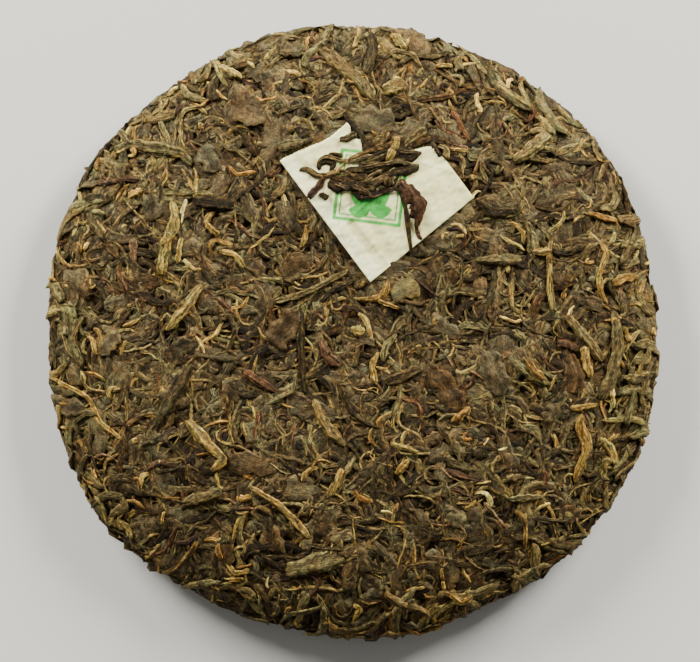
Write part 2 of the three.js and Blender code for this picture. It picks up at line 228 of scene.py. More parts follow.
def spun(name, r, z, steps):
    """A closed body: one point drawn along the profile, then spun round the axis."""
    bpy.ops.object.select_all(action="DESELECT")
    bpy.ops.mesh.primitive_plane_add(size=1)
    bpy.ops.object.mode_set(mode="EDIT")
    bpy.ops.mesh.merge(type="CENTER")
    bpy.ops.transform.translate(value=(r[0], 0, z[0]))
    for i in range(1, len(r)):
        bpy.ops.mesh.extrude_region_move(
            TRANSFORM_OT_translate={"value": (r[i] - r[i - 1], 0, z[i] - z[i - 1])}
        )
    bpy.ops.mesh.select_all(action="SELECT")
    bpy.ops.mesh.spin(steps=steps, angle=2 * np.pi, center=(0, 0, 0), axis=(0, 0, 1))
    bpy.ops.mesh.select_all(action="SELECT")
    bpy.ops.mesh.remove_doubles(threshold=1e-6)
    bpy.ops.mesh.normals_make_consistent(inside=False)
    bpy.ops.object.mode_set(mode="OBJECT")
    bpy.ops.object.shade_smooth()
    made = bpy.context.object
    made.name = name
    made.data.name = name
    return made


def vertex_rows(piece, key):
    """The places, or the normals, of a mesh's points, one row each."""
    flat = np.empty(len(piece.data.vertices) * 3)
    piece.data.vertices.foreach_get(key, flat)
    return flat.reshape(-1, 3)


def within_cake(points):
    """Keeps points inside the solid cake's own size, and presses flat on the board what would
    go through it."""
    low_mm = np.array([cad_low[0], cad_low[1], 0]) / MM
    high_mm = np.array(cad_high) / MM
    z = points[:, 2]
    pressed = BOARD_EASE * np.exp(np.minimum(z / BOARD_EASE - 1, 0))
    points = np.column_stack([points[:, :2], np.where(z < BOARD_EASE, pressed, z)])
    return np.clip(points, low_mm + [INSIDE, INSIDE, 0.0], high_mm - INSIDE)


def core_relief(points):
    """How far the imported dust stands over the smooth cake: it is below 0, under it."""
    return np.clip(bumps(points, CORE_BUMPS), *CORE_BUMP_RANGE) - CORE_DEPTH


core = spun("pressed_core", *(np.array(meridian(CORE_PROFILE)) * MM), CORE_SPIN)
at = vertex_rows(core, "co") / MM
at = at + vertex_rows(core, "normal") * core_relief(at)[:, None]
at[:, :2] *= lobe(np.arctan2(at[:, 1], at[:, 0]))[:, None]
at[:, :2] += PLACE
at[:, 2] = np.maximum(at[:, 2], CORE_CLEAR)
core.data.vertices.foreach_set("co", (at * MM).ravel())
core.data.update()

# Pressed black tea dust: dry, rough and almost without shine, in flecks of about 1 mm, so that
# the gaps between the leaves look deep.
DUST_BROWNS = [(0.3, "2A1F10"), (0.55, "46381E"), (0.75, "66532F")]
dust, tree = new_material("pressed_tea_dust")
place = add(tree, "TexCoord").outputs["Object"]
flecks = add(tree, "TexNoise", {"Vector": place, "Scale": 900, "Detail": 4})
tint = add(tree, "ValToRGB", {"Fac": flecks}, DUST_BROWNS)
grit = add(tree, "Bump", {"Height": flecks, "Strength": 0.8, "Distance": 0.0004})
skin = {"Base Color": tint, "Roughness": 0.85, "Specular IOR Level": 0.1, "Normal": grit}
add(tree, "OutputMaterial", {"Surface": add(tree, "BsdfPrincipled", skin)})
core.data.materials.append(dust)
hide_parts("tea_cake")
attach(core, "root")


# The ticket is a thin sheet of off-white paper with a green print, laid in the bag before
# the tea, so that the press set it into the face. Its upper corner went under the leaves.
PAPER_LIFT = 0.55
PAPER_SINK = 2.4
PAPER_HALF = 0.1
PAPER_GRID = 0.33
PAPER_WAVES = ((0.2, 13, 21), (0.12, 4.5, 22), (0.05, 2.2, 23))
TORN_X = (-24.6, -17, -10.6, -7.3, -4, -1.6, -0.7, -0.4, 2.7, 3.2, 18, 20.6, 25.8, 41)
TORN_Y = (54.6, 58.2, 60.7, 62.6, 65.4, 67.3, 66.0, 62.4, 62.0, 58.0, 58.0, 58.6, 60, 64)
TEAR_STEP = 1.4
STRIP_WIDTH = 5.0
STRIP_SLOPE = 0.06
# Each crease has its angle, its distance from the middle, its half width and its height.
CREASES = (
    (0.1, 3, 1.0, 0.3),
    (0.9, -8, 1.2, -0.35),
    (2.2, 9, 1.0, 0.28),
    (1.6, -14, 1.3, 0.3),
    (2.9, -4, 1.0, -0.28),
    (1.2, -15.5, 0.6, 0.25),
    (0.75, -14, 0.5, -0.22),
)
PRINT_MIDDLE = (-3.2, -0.8)
LOZENGE_LINES = ((10.8, 0.55, 0.12), (9.3, 0.25, 0.1))
SPRAY_ROOT = (-5.2, -6.4)
SPRAY_LEAVES = ((0.2, 9.5), (0.9, 11), (1.6, 9.5), (-0.5, 7), (2.3, 7))
SPRAY_WIDTH = 4.2
SPRAY_GAP = 0.4
INK_EDGE = 0.12


def ticket_ways():
    """The directions of the ticket's width and length: it is cut a little askew."""
    wide = np.radians(TICKET["turn"] + TICKET["skew"])
    long = np.radians(TICKET["turn"] - TICKET["skew"])
    return (np.cos(wide), np.sin(wide)), (-np.sin(long), np.cos(long))


def on_ticket(x, y):
    """Distances along the ticket's width and length from its middle."""
    width_way, length_way = ticket_ways()
    across, along = np.linalg.inv(np.column_stack([width_way, length_way]))
    dx, dy = x - TICKET["x"], y - TICKET["y"]
    return across[0] * dx + across[1] * dy, along[0] * dx + along[1] * dy


def from_ticket(across, along):
    """The place in plan of a point of the ticket."""
    width_way, length_way = ticket_ways()
    x = TICKET["x"] + across * width_way[0] + along * length_way[0]
    return x, TICKET["y"] + across * width_way[1] + along * length_way[1]


def torn_edge(x):
    """How far up the face the sheet shows: it is torn there, with a strip and a flap."""
    return np.interp(x, TORN_X, TORN_Y) + 0.12 * np.sin(9 * x) + 0.1 * np.sin(5.3 * x)


def exposure(x, y):
    """1 where the ticket lies open on the face, falling to 0 where tea covers it."""
    return smooth(torn_edge(x) - y, -TEAR_STEP, 0)


def open_ticket(x, y, margin):
    """Whether a point is on the open part of the ticket, grown by a margin."""
    across, along = on_ticket(x, y)
    inside = (np.abs(across) < TICKET["width"] / 2 + margin) & (
        np.abs(along) < TICKET["length"] / 2 + margin
    )
    return inside & (torn_edge(x) + margin > y)


def plain_radius(x, y):
    """The radius that a place would have on a round cake."""
    return np.hypot(x, y) / lobe(np.arctan2(y, x))


def crease(across, along, angle, offset, width):
    """A soft fold along a straight line: 1 on the line, falling away to both sides."""
    away = across * np.sin(angle) - along * np.cos(angle) - offset
    return np.exp(-np.abs(away) / width)


def past_strip(across):
    """How far a place is inside the edge strip that is folded double."""
    return STRIP_WIDTH - TICKET["width"] / 2 - across


def paper_rise(x, y):
    """How high the sheet lies over the smooth face, with its waves and creases."""
    across, along = on_ticket(x, y)
    waves = bumps(np.stack([x, y, 0 * x], -1), PAPER_WAVES)
    waves += STRIP_SLOPE * np.clip(past_strip(across), 0, STRIP_WIDTH)
    for angle, offset, width, height in CREASES:
        waves += height * crease(across, along, angle, offset, width)
    open_share = exposure(x, y)
    return PAPER_LIFT - (1 - open_share) * (PAPER_LIFT + PAPER_SINK) + waves * open_share


def band(value, middle, half, soft):
    """1 within half of the middle, with soft edges."""
    return 1 - smooth(np.abs(value - middle), half - soft, half + soft)


def printed_leaf(across, along, x, y, turn, length):
    """A pointed oval, as a plain leaf: 1 inside."""
    dx, dy = across - x, along - y
    u = dx * np.cos(turn) + dy * np.sin(turn)
    v = np.abs(-dx * np.sin(turn) + dy * np.cos(turn))
    edge = SPRAY_WIDTH / 2 * (1 - np.clip(np.abs(u) / (length / 2), 0, 1) ** 2)
    return smooth(edge - v, -INK_EDGE, INK_EDGE) * (np.abs(u) < length / 2)


def printed(across, along):
    """How much green ink lies at a place: a lozenge frame round a spray of plain leaves."""
    across, along = across - PRINT_MIDDLE[0], along - PRINT_MIDDLE[1]
    lozenge = (np.abs(across) + np.abs(along)) / np.sqrt(2)
    ink = np.maximum(*(band(lozenge, *line) for line in LOZENGE_LINES))
    for turn, length in SPRAY_LEAVES:
        x = np.cos(turn) * (length / 2 + SPRAY_GAP) + SPRAY_ROOT[0]
        y = np.sin(turn) * (length / 2 + SPRAY_GAP) + SPRAY_ROOT[1]
        ink = np.maximum(ink, printed_leaf(across, along, x, y, turn, length))
    return ink


bpy.ops.object.select_all(action="DESELECT")
bpy.ops.mesh.primitive_grid_add(
    x_subdivisions=int(TICKET["width"] / PAPER_GRID),
    y_subdivisions=int(TICKET["length"] / PAPER_GRID),
    size=1,
)
paper = bpy.context.object
paper.name = "paper_ticket_sheet"
paper.data.name = paper.name
flat = vertex_rows(paper, "co")
across, along = flat[:, 0] * TICKET["width"], flat[:, 1] * TICKET["length"]
x, y = from_ticket(across, along)
z = face_height(plain_radius(x, y)) + paper_rise(x, y)
points = np.column_stack([x + PLACE[0], y + PLACE[1], z])
paper.data.vertices.foreach_set("co", (points * MM).ravel())
doubled = smooth(past_strip(across), -0.2, 0.2)
for name, value in (("ink", printed(across, along)), ("doubled", doubled)):
    store = paper.data.attributes.new(name, "FLOAT", "POINT")
    store.data.foreach_set("value", value.astype(np.float32))
sheet_depth = paper.modifiers.new("thickness", "SOLIDIFY")
sheet_depth.thickness = 2 * PAPER_HALF * MM
sheet_depth.offset = 0
bpy.ops.object.modifier_apply(modifier="thickness")
bpy.ops.object.shade_smooth()

# Uncoated tissue-like paper, offset printed in one green: matt, with cloudy fibres, greyer
# where the tea shows through it and whiter along the strip that is folded double.
PAPER_WHITES = [(0.3, "DED792"), (0.5, "F1EBA8"), (0.8, "FFFCC4")]
PRINT_GREEN = "2BA436"
tissue, tree = new_material("uncoated_printed_paper")
place = add(tree, "TexCoord").outputs["Object"]
clouds = add(tree, "TexNoise", {"Vector": place, "Scale": 170, "Detail": 5})
fibres = add(tree, "TexNoise", {"Vector": place, "Scale": 1400, "Detail": 3})
strip = add(tree, "Attribute", attribute_name="doubled").outputs["Fac"]
whiter = add(tree, "Math", (strip, 0.25, clouds), operation="MULTIPLY_ADD")
paper_tint = add(tree, "ValToRGB", {"Fac": whiter}, PAPER_WHITES)
inked = add(tree, "Attribute", attribute_name="ink").outputs["Fac"]
patchy = add(tree, "MapRange", (fibres, 0.3, 0.6, 0.9))
cover = add(tree, "Math", (inked, patchy), operation="MULTIPLY")
colours = {"Factor": cover, "A": paper_tint, "B": linear(PRINT_GREEN)}
printed_tint = add(tree, "Mix", colours, data_type="RGBA").outputs["Result"]
tooth = add(tree, "Bump", {"Height": fibres, "Strength": 0.25, "Distance": 0.0001})
skin = {"Base Color": printed_tint, "Roughness": 0.88, "Normal": tooth}
add(tree, "OutputMaterial", {"Surface": add(tree, "BsdfPrincipled", skin)})
paper.data.materials.append(tissue)
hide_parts("paper_ticket")
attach(paper, "root")


# Broad leaf pieces lie deepest: whole or torn leaves that the press has flattened, wrinkled
# along their length and often folded on the midrib. Every leaf is laid on the heap below it
# and pushed flush with the face, in the order in which the sections stand.
CELL = 0.5
REACH = 124.0
CELLS = int(2 * REACH / CELL)
PROFILE_STEPS = 500
WAY_STEPS = 3000
EASE_STEPS = 41
SWELL_HEIGHTS = (0.3, 0.13)
SWELL_WAVES = (17, 6)
LOOSE_FROM = 35
LOOSE_TO = 85
UNDER_PAPER = -0.45
OVER_PAPER = 0.9
EDDY_TURN = 2.3
EDDY_SIZE = 55
EDDY_SEED = 71
GOLDEN_ANGLE = 2.39996
HEADING_SPREAD = 0.75
WOBBLE = 0.13
LANES = np.array([-0.42, -0.2, 0, 0.2, 0.42])[:, None]
BED_EASE = [0.1, 0.2, 0.4, 0.2, 0.1]
LIE_SPREAD = 0.1
ANY_ANGLE = (0, 6.3)
rng = np.random.default_rng(357)


def surface_way(below):
    """The profile by its length from the middle of the face, or of the underside, with the
    way out of the surface, eased over the corners."""
    r, z = meridian(PROFILE_STEPS)
    if below:
        r, z = r[::-1], z[::-1]
    way = np.concatenate([[0], np.cumsum(np.hypot(np.diff(r), np.diff(z)))])
    even = np.linspace(0, way[-1], WAY_STEPS)
    r, z = np.interp(even, way, r), np.interp(even, way, z)
    ease, pad = np.ones(EASE_STEPS) / EASE_STEPS, EASE_STEPS // 2
    dr = np.convolve(np.pad(np.gradient(r), pad, mode="edge"), ease, mode="valid")
    dz = np.convolve(np.pad(np.gradient(z), pad, mode="edge"), ease, mode="valid")
    size = np.hypot(dr, dz)
    sign = -1 if below else 1
    return {"way": even, "r": r, "z": z, "nr": -sign * dz / size, "nz": sign * dr / size}


def on_cake(px, py, side):
    """A place on the unrolled face or underside, as a point and the way out of it."""
    way, angle = np.hypot(px, py), np.arctan2(py, px)
    r, z, nr, nz = (np.interp(way, side["way"], side[k]) for k in ("r", "z", "nr", "nz"))
    r = r * lobe(angle)
    point = np.stack([r * np.cos(angle), r * np.sin(angle), z], -1)
    return point, np.stack([nr * np.cos(angle), nr * np.sin(angle), nz], -1)


def unrolled(x, y, side):
    """The place on the unrolled face that lies at a point of the plan."""
    rim = np.argmax(side["r"])
    r, angle = plain_radius(x, y), np.arctan2(y, x)
    way = np.interp(r, side["r"][:rim], side["way"][:rim]) + np.maximum(r - CAKE_RADIUS, 0)
    return way * np.cos(angle), way * np.sin(angle)


def new_heap(below, seed):
    """One unrolled side of the cake in cells: top is the height of the tea laid there so far,
    and swell is how high it may go. The press has packed the middle flatter than the rim."""
    side = surface_way(below)
    grid = (np.arange(CELLS) + 0.5) * CELL - REACH
    gx, gy = np.meshgrid(grid, grid, indexing="ij")
    loose = 0.3 + 0.7 * smooth(np.hypot(gx, gy), LOOSE_FROM, LOOSE_TO)
    layers = zip(SWELL_HEIGHTS, SWELL_WAVES, (seed, seed + 1))
    side["swell"] = loose * bumps(np.stack([gx, gy, 0 * gx], -1), layers)
    point, _ = on_cake(gx, gy, side)
    side["top"] = core_relief(point) + 0.1
    side["x"], side["y"] = point[..., 0], point[..., 1]
    side["paper"] = open_ticket(side["x"], side["y"], 0.0) & (not below)
    near_paper = open_ticket(side["x"], side["y"], 1.5) & (not below)
    side["swell"] = np.where(near_paper, np.minimum(side["swell"], UNDER_PAPER), side["swell"])
    return side


def cells(px, py):
    """The cells that places on an unrolled side are in."""
    i = np.clip(((px + REACH) / CELL).astype(int), 0, CELLS - 1)
    j = np.clip(((py + REACH) / CELL).astype(int), 0, CELLS - 1)
    return i, j


def eddy(px, py):
    """The way that neighbouring leaves drift together in the bag, as an angle."""
    return EDDY_TURN * ripple(np.stack([px, py, 0 * px], -1), EDDY_SIZE, EDDY_SEED)


def wander(length, stations, zone, bend, kink):
    """Paths spread evenly over a ring of a side, each along its eddy with turns of its own."""
    count = len(length)
    i = np.arange(count) + rng.uniform(0, 1, count)
    out = np.sqrt(zone[0] ** 2 + (zone[1] ** 2 - zone[0] ** 2) * i / count)
    angle = np.arange(count) * GOLDEN_ANGLE + rng.uniform(-0.5, 0.5, count)
    heading = rng.normal(0, HEADING_SPREAD, count)[:, None]
    turn = (rng.normal(0, 1, count) * bend)[:, None]
    jerk = (rng.normal(0, 1, count) * kink)[:, None]
    spot = rng.uniform(-0.45, 0.45, count)[:, None]
    s = np.linspace(-0.5, 0.5, stations)[None, :]
    aim = heading + turn * s + jerk * np.tanh(9 * (s - spot))
    aim = aim + rng.normal(0, WOBBLE, aim.shape)
    step = (length / (stations - 1))[:, None]
    middle = stations // 2
    mx, my = (out * np.cos(angle))[:, None], (out * np.sin(angle))[:, None]
    px, py = mx + 0 * aim, my + 0 * aim
    for _ in range(3):
        way = aim + eddy(px, py)
        px = np.cumsum(np.cos(way) * step, 1)
        py = np.cumsum(np.sin(way) * step, 1)
        px += mx - px[:, middle : middle + 1]
        py += my - py[:, middle : middle + 1]
    return px, py


def off_ticket(px, py, margin):
    """Which paths stay off the open part of the ticket, shrunk by a margin."""
    point, _ = on_cake(px, py, face)
    return ~open_ticket(point[..., 0], point[..., 1], -margin).any(1)


def lay(px, py, width, thick, side, flush, dip, stiff=0.0):
    """Lays leaves one by one on the heap and raises it by each. Gives the heights of their
    middle lines. Their tops go no higher than flush over the swell, their ends dip, and a
    stiff leaf spans the hollows under it."""
    stations = px.shape[1]
    heights = np.empty(px.shape)
    s = np.linspace(0, 1, stations)
    fine = np.linspace(0, 1, 4 * stations)
    full = 1 - np.abs(2 * fine - 1) ** 3
    for k in range(len(px)):
        dx, dy = np.gradient(px[k]), np.gradient(py[k])
        size = np.hypot(dx, dy) + 1e-9
        nx, ny = -dy / size * width[k], dx / size * width[k]
        under = side["top"][cells(px[k] + nx * LANES, py[k] + ny * LANES)]
        h = 0.5 * under.max(0) + 0.5 * under.mean(0)
        h = np.convolve(np.pad(h, 2, mode="edge"), BED_EASE, mode="valid")
        beside = np.maximum(np.append(h[1:], h[-1]), np.append(h[0], h[:-1]))
        h = h + stiff * np.maximum(beside - h, 0)
        limit = flush + side["swell"][cells(px[k], py[k])] - thick[k] * 0.4
        h = np.minimum(h + thick[k] * 0.3, limit) + rng.uniform(-LIE_SPREAD, LIE_SPREAD)
        h = h - dip * thick[k] * np.abs(2 * s - 1) ** 4
        heights[k] = h
        fx, fy, fh, fnx, fny = (np.interp(fine, s, v) for v in (px[k], py[k], h, nx, ny))
        spot = cells(fx + fnx * LANES * full, fy + fny * LANES * full)
        crown = 0.5 * thick[k] * np.sqrt(1 - (2 * LANES) ** 2) * np.sqrt(full)
        np.maximum.at(side["top"], spot, fh + crown)
    return heights


def bodies(px, py, heights, width, thick, side, sides, look):
    """Closed bodies along paths, each ridged, twisted and crumpled in its own way. Every body
    is a row of rings of so many sides, with a point at either end."""
    count, stations = px.shape
    base, out = on_cake(px, py, side)
    middle = base + out * heights[..., None]
    forward = np.gradient(middle, axis=1)
    forward /= np.linalg.norm(forward, axis=-1, keepdims=True) + 1e-9
    across = np.cross(forward, out)
    across /= np.linalg.norm(across, axis=-1, keepdims=True) + 1e-9
    up = np.cross(across, forward)

    def own(low, high):
        """A random number of its own for each leaf."""
        return rng.uniform(low, high, count)[:, None, None]

    s = np.linspace(0, 1, stations)[None, :, None]
    around = np.linspace(0, 2 * np.pi, sides, endpoint=False)[None, None, :]
    reach = np.clip(1 - np.abs(2 * s - 1) ** own(*look["blunt"]), 0, 1) ** 0.6
    reach = reach * (1 + own(-1, 1) * look["taper"] * (2 * s - 1))
    torn = look["ragged"]
    edge = [
        1 + torn * np.sin(own(6, 14) * s + own(*ANY_ANGLE)) + torn * np.sin(own(17, 26) * s)
        for _ in range(2)
    ]
    spread = np.where(np.cos(around) > 0, edge[0], edge[1])
    twist = own(-1, 1) * look["twist"]
    spin = twist * s + own(*ANY_ANGLE)
    flutes = np.round(own(*look["flutes"]))
    ridge = 0.75 * np.cos(flutes * around + spin) + 0.25 * np.cos(5 * around - 2 * spin)
    groove = look["groove"]
    length = np.linalg.norm(np.diff(middle, axis=1), axis=-1).sum(1)
    crumple = rng.normal(0, look["crumple"], (2, count, stations, sides))
    crumple *= np.minimum(1, length / stations)[:, None, None]
    local_x = np.cos(around) * reach * spread * (1 + 0.4 * groove * ridge)
    local_x = 0.5 * width[:, None, None] * (local_x + crumple[0] * reach * 0.5)
    fold = own(-1, 1) * look["fold"] * np.abs(np.cos(around)) * reach
    crown = np.sign(np.sin(around)) * np.abs(np.sin(around)) ** look["square"]
    local_y = crown * np.sqrt(reach) * (1 + groove * ridge) + fold
    local_y = 0.5 * thick[:, None, None] * (local_y + crumple[1] * reach)
    buckle = np.sin(own(8, 18) * s + own(-3, 3) * np.cos(around) + own(*ANY_ANGLE))
    local_y = local_y + look["buckle"] * buckle * reach
    # The edges join the ridge value, which paints them paler: painted highlight.
    ridge = ridge + look["edge_highlight"] * np.abs(np.cos(around)) ** 6
    lean = own(-1, 1) * look["lean"] * np.sin(own(1, 4) * s + own(*ANY_ANGLE))
    turned_x = local_x * np.cos(lean) - local_y * np.sin(lean)
    turned_y = local_x * np.sin(lean) + local_y * np.cos(lean)
    ring = (
        middle[:, :, None, :]
        + across[:, :, None, :] * turned_x[..., None]
        + up[:, :, None, :] * turned_y[..., None]
    )
    slant = (rng.uniform(-0.35, 0.35, (count, 2)) * width[:, None])[..., None]
    ends = middle[:, [0, -1], :] + across[:, [0, -1], :] * slant
    level = heights[:, 1:-1, None] + turned_y[:, 1:-1]
    drift = own(-1, 1) * look["drift"] * (2 * s - 1) + 0.5 * crumple[1]
    no_ends = np.zeros((count, 2))
    return {
        "points": np.concatenate([ring[:, 1:-1].reshape(count, -1, 3), ends], 1),
        "ridge": np.concatenate([ridge[:, 1:-1].reshape(count, -1), no_ends], 1),
        "level": np.concatenate([level.reshape(count, -1), heights[:, [0, -1]]], 1),
        "drift": np.concatenate([drift[:, 1:-1].reshape(count, -1), no_ends], 1),
        "middle": base[:, stations // 2],
        "sides": sides,
        "stations": stations,
        "length": length,
        "width": width,
    }


def shades(made, middle, spread):
    """The shade of each point of a batch, from 0, the darkest of its kind, to 1. The tea is
    darker in the middle of the face and lies in patches, and the side away from the ticket,
    which faces away from the windows, is painted darker, as painted shade."""
    place = made["middle"]
    patches = 0.05 * ripple(place, 26, 51)
    towards_rim = 0.05 * smooth(np.hypot(place[:, 0], place[:, 1]), 15, 70) - 0.02
    # Painted shade: the side away from the ticket faces away from the windows and is darker.
    painted_far_shade = -0.06 * smooth(-place[:, 1], 35, 95)
    tone = rng.normal(middle, spread, len(place)) + patches + towards_rim + painted_far_shade
    return np.clip(tone[:, None] + made["drift"], 0, 1)


def joined(name, material, *groups):
    """One mesh of many closed bodies. A group is a batch with its middle shade and spread, or
    with the shade of each point. The mesh's points have a shade, a warmth, a ridge and a
    depth, and its grain is a map in mm: along a leaf, and round it."""
    tones = [t[0] if len(t) == 1 else shades(made, *t) for made, *t in groups]
    faces, uvs, all_points = ([], []), ([], []), []
    values = {"tone": [], "warmth": [], "ridge": [], "depth": []}
    start = 0
    for (made, *_), tone in zip(groups, tones):
        count, per = made["points"].shape[:2]
        sides, rings = made["sides"], made["stations"] - 2
        first = start + (np.arange(count) * per)[:, None, None]
        j = np.arange(sides)
        k = (j + 1) % sides
        i = np.arange(rings - 1)[:, None]
        quad = [i * sides + j, i * sides + k, (i + 1) * sides + k, (i + 1) * sides + j]
        quad = np.stack(quad, -1).reshape(-1, 4)
        last = (rings - 1) * sides
        tail = np.stack([0 * j + per - 2, k, j], -1)
        tip = np.stack([0 * j + per - 1, last + j, last + k], -1)
        faces[0].append((first + quad).reshape(-1, 4))
        faces[1].append((first + np.concatenate([tail, tip])).reshape(-1, 3))
        along = made["length"][:, None] / (rings + 1)
        girth = made["width"][:, None] * 2.6 / sides
        shift = rng.uniform(0, 400, count)[:, None]
        qu = np.stack([i + 1, i + 1, i + 2, i + 2], -1) + 0 * j[None, :, None]
        qv = np.stack([j, j + 1, j + 1, j], -1) + 0 * i[..., None]
        tu = np.tile([0, 1, 1], 2 * sides)
        tv = np.stack([j, j + 1, j], -1).ravel()
        for store, u, v in ((uvs[0], qu, qv), (uvs[1], tu, np.tile(tv, 2))):
            u, v = u.reshape(1, -1) * along, v.reshape(1, -1) * girth + shift
            store.append(np.stack([u, v], -1).reshape(-1, 2))
        all_points.append(made["points"].reshape(-1, 3))
        warmth = np.clip(rng.normal(0, 0.45, (count, 1)), -0.15, 1.2) + 0 * tone
        for key, value in zip(values, (tone, warmth, made["ridge"], made["level"])):
            values[key].append(value.ravel())
        start += count * per
    points = within_cake(np.concatenate(all_points) + [*PLACE, 0]) * MM
    quads, tris = (np.concatenate(part) for part in faces)
    mesh = bpy.data.meshes.new(name)
    mesh.vertices.add(len(points))
    mesh.vertices.foreach_set("co", points.ravel())
    mesh.loops.add(quads.size + tris.size)
    mesh.loops.foreach_set("vertex_index", np.concatenate([quads.ravel(), tris.ravel()]))
    quad_starts = np.arange(len(quads)) * 4
    starts = np.concatenate([quad_starts, quads.size + np.arange(len(tris)) * 3])
    mesh.polygons.add(len(starts))
    mesh.polygons.foreach_set("loop_start", starts)
    mesh.polygons.foreach_set("use_smooth", np.ones(len(starts), bool))
    grain = mesh.uv_layers.new(name="grain")
    grain.data.foreach_set("uv", np.concatenate(uvs[0] + uvs[1]).ravel().astype(np.float32))
    mesh.update(calc_edges=True)
    for key, parts in values.items():
        store = mesh.attributes.new(key, "FLOAT", "POINT")
        store.data.foreach_set("value", np.concatenate(parts).astype(np.float32))
    piece = bpy.data.objects.new(name, mesh)
    bpy.context.scene.collection.objects.link(piece)
    mesh.materials.append(material)
    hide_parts("tea_cake")
    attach(piece, "root")


# How a rolled leaf is shaped. Angles are in radians.
LEAF_LOOK = {
    "stations": 9,  # rings and ends along it
    "zone": (0.0, 109.0),  # how far out its middle may lie, in mm
    "bend": 0.8,  # how far it curves
    "kink": 0.4,  # how sharply it turns at one place
    "dip": 0.6,  # how far its ends sink, as a share of its thickness
    "blunt": (2.2, 6),  # the least and the most: 2 is pointed and 12 torn square
    "taper": 0.25,  # how much wider one end is
    "ragged": 0.07,  # how uneven its edges are
    "twist": 4.0,  # how far its ridges wind round it
    "flutes": (2, 4),  # its ridges, least and most
    "groove": 0.25,  # how deep they are, as a share of its thickness
    "crumple": 0.08,
    "fold": 0.0,  # how far it is folded on its midrib
    "lean": 0.3,  # how far it rolls to one side
    "drift": 0.15,  # how much paler one end is
    "square": 1.0,  # 1 is round in section, and less is flat with edges
    "buckle": 0.0,  # how high its waves are, in mm
    # how much painted highlight its edges get
    "edge_highlight": 0.3,
}


def batch(count, side, lengths, widths, flat, flush, sides, **changes):
    """Like leaves. Their lengths and widths run from the least to the most, in mm, and flat is
    their thickness as a share of the width."""
    look = LEAF_LOOK | changes
    length = lengths[0] + (lengths[1] - lengths[0]) * rng.uniform(0, 1, count) ** 1.3
    px, py = wander(length, look["stations"], look["zone"], look["bend"], look["kink"])
    width = widths[0] + (widths[1] - widths[0]) * rng.uniform(0, 1, count) ** 1.5
    if "margin" in look:
        keep = off_ticket(px, py, look["margin"])
        px, py, width = px[keep], py[keep], width[keep]
    thick = width * flat * rng.uniform(0.8, 1.25, len(px))
    heights = lay(px, py, width, thick, side, flush, look["dip"])
    return bodies(px, py, heights, width, thick, side, sides, look)


